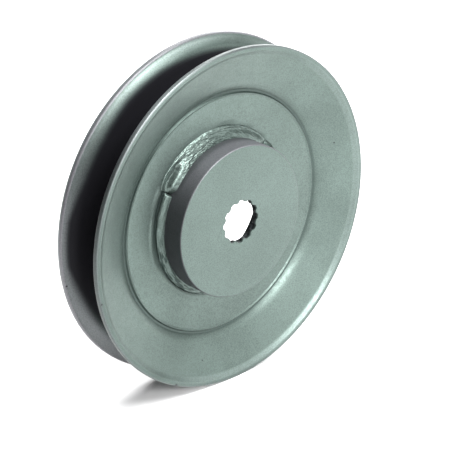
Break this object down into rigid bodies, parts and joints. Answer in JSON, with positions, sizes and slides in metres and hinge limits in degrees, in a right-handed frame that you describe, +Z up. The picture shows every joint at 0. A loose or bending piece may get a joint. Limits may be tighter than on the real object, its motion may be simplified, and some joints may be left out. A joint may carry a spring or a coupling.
{
  "type": "v belt pulley",
  "caption": "Pressed-steel V-belt pulley: two welded disc halves form the groove, with a raised round hub and a star-shaped shaft hole.",
  "frame": {"origin": "on the pulley's axis, half-way between the outer faces of the two rims, which is also the middle of the belt groove", "axes": "+Y along the pulley's axis from the hub's closed face towards its open back, +X and +Z across the discs, +Z up"},
  "size_m": [0.146, 0.0275, 0.146],
  "materials": {
    "plated_sheet": "satin grey-green metallic coat over pressed steel sheet, fine grain",
    "plated_hub": "satin grey-green metallic coat over a drawn steel cup",
    "weld_bead": "glossy rippled weld metal under the same coat",
    "weld_nugget": "bare fused steel between the discs"
  },
  "bodies": {
    "root": {"front_sheave_half": "plated_sheet", "rear_sheave_half": "plated_sheet", "star_hub": "plated_hub", "front_weld_rough": "weld_bead", "front_weld_neat": "weld_bead", "rear_weld_1": "weld_bead", "rear_weld_2": "weld_bead", "web_projection_weld_1": "weld_nugget", "web_projection_weld_2": "weld_nugget", "web_projection_weld_3": "weld_nugget", "web_projection_weld_4": "weld_nugget", "web_projection_weld_5": "weld_nugget", "web_projection_weld_6": "weld_nugget"}
  },
  "joints": []
}
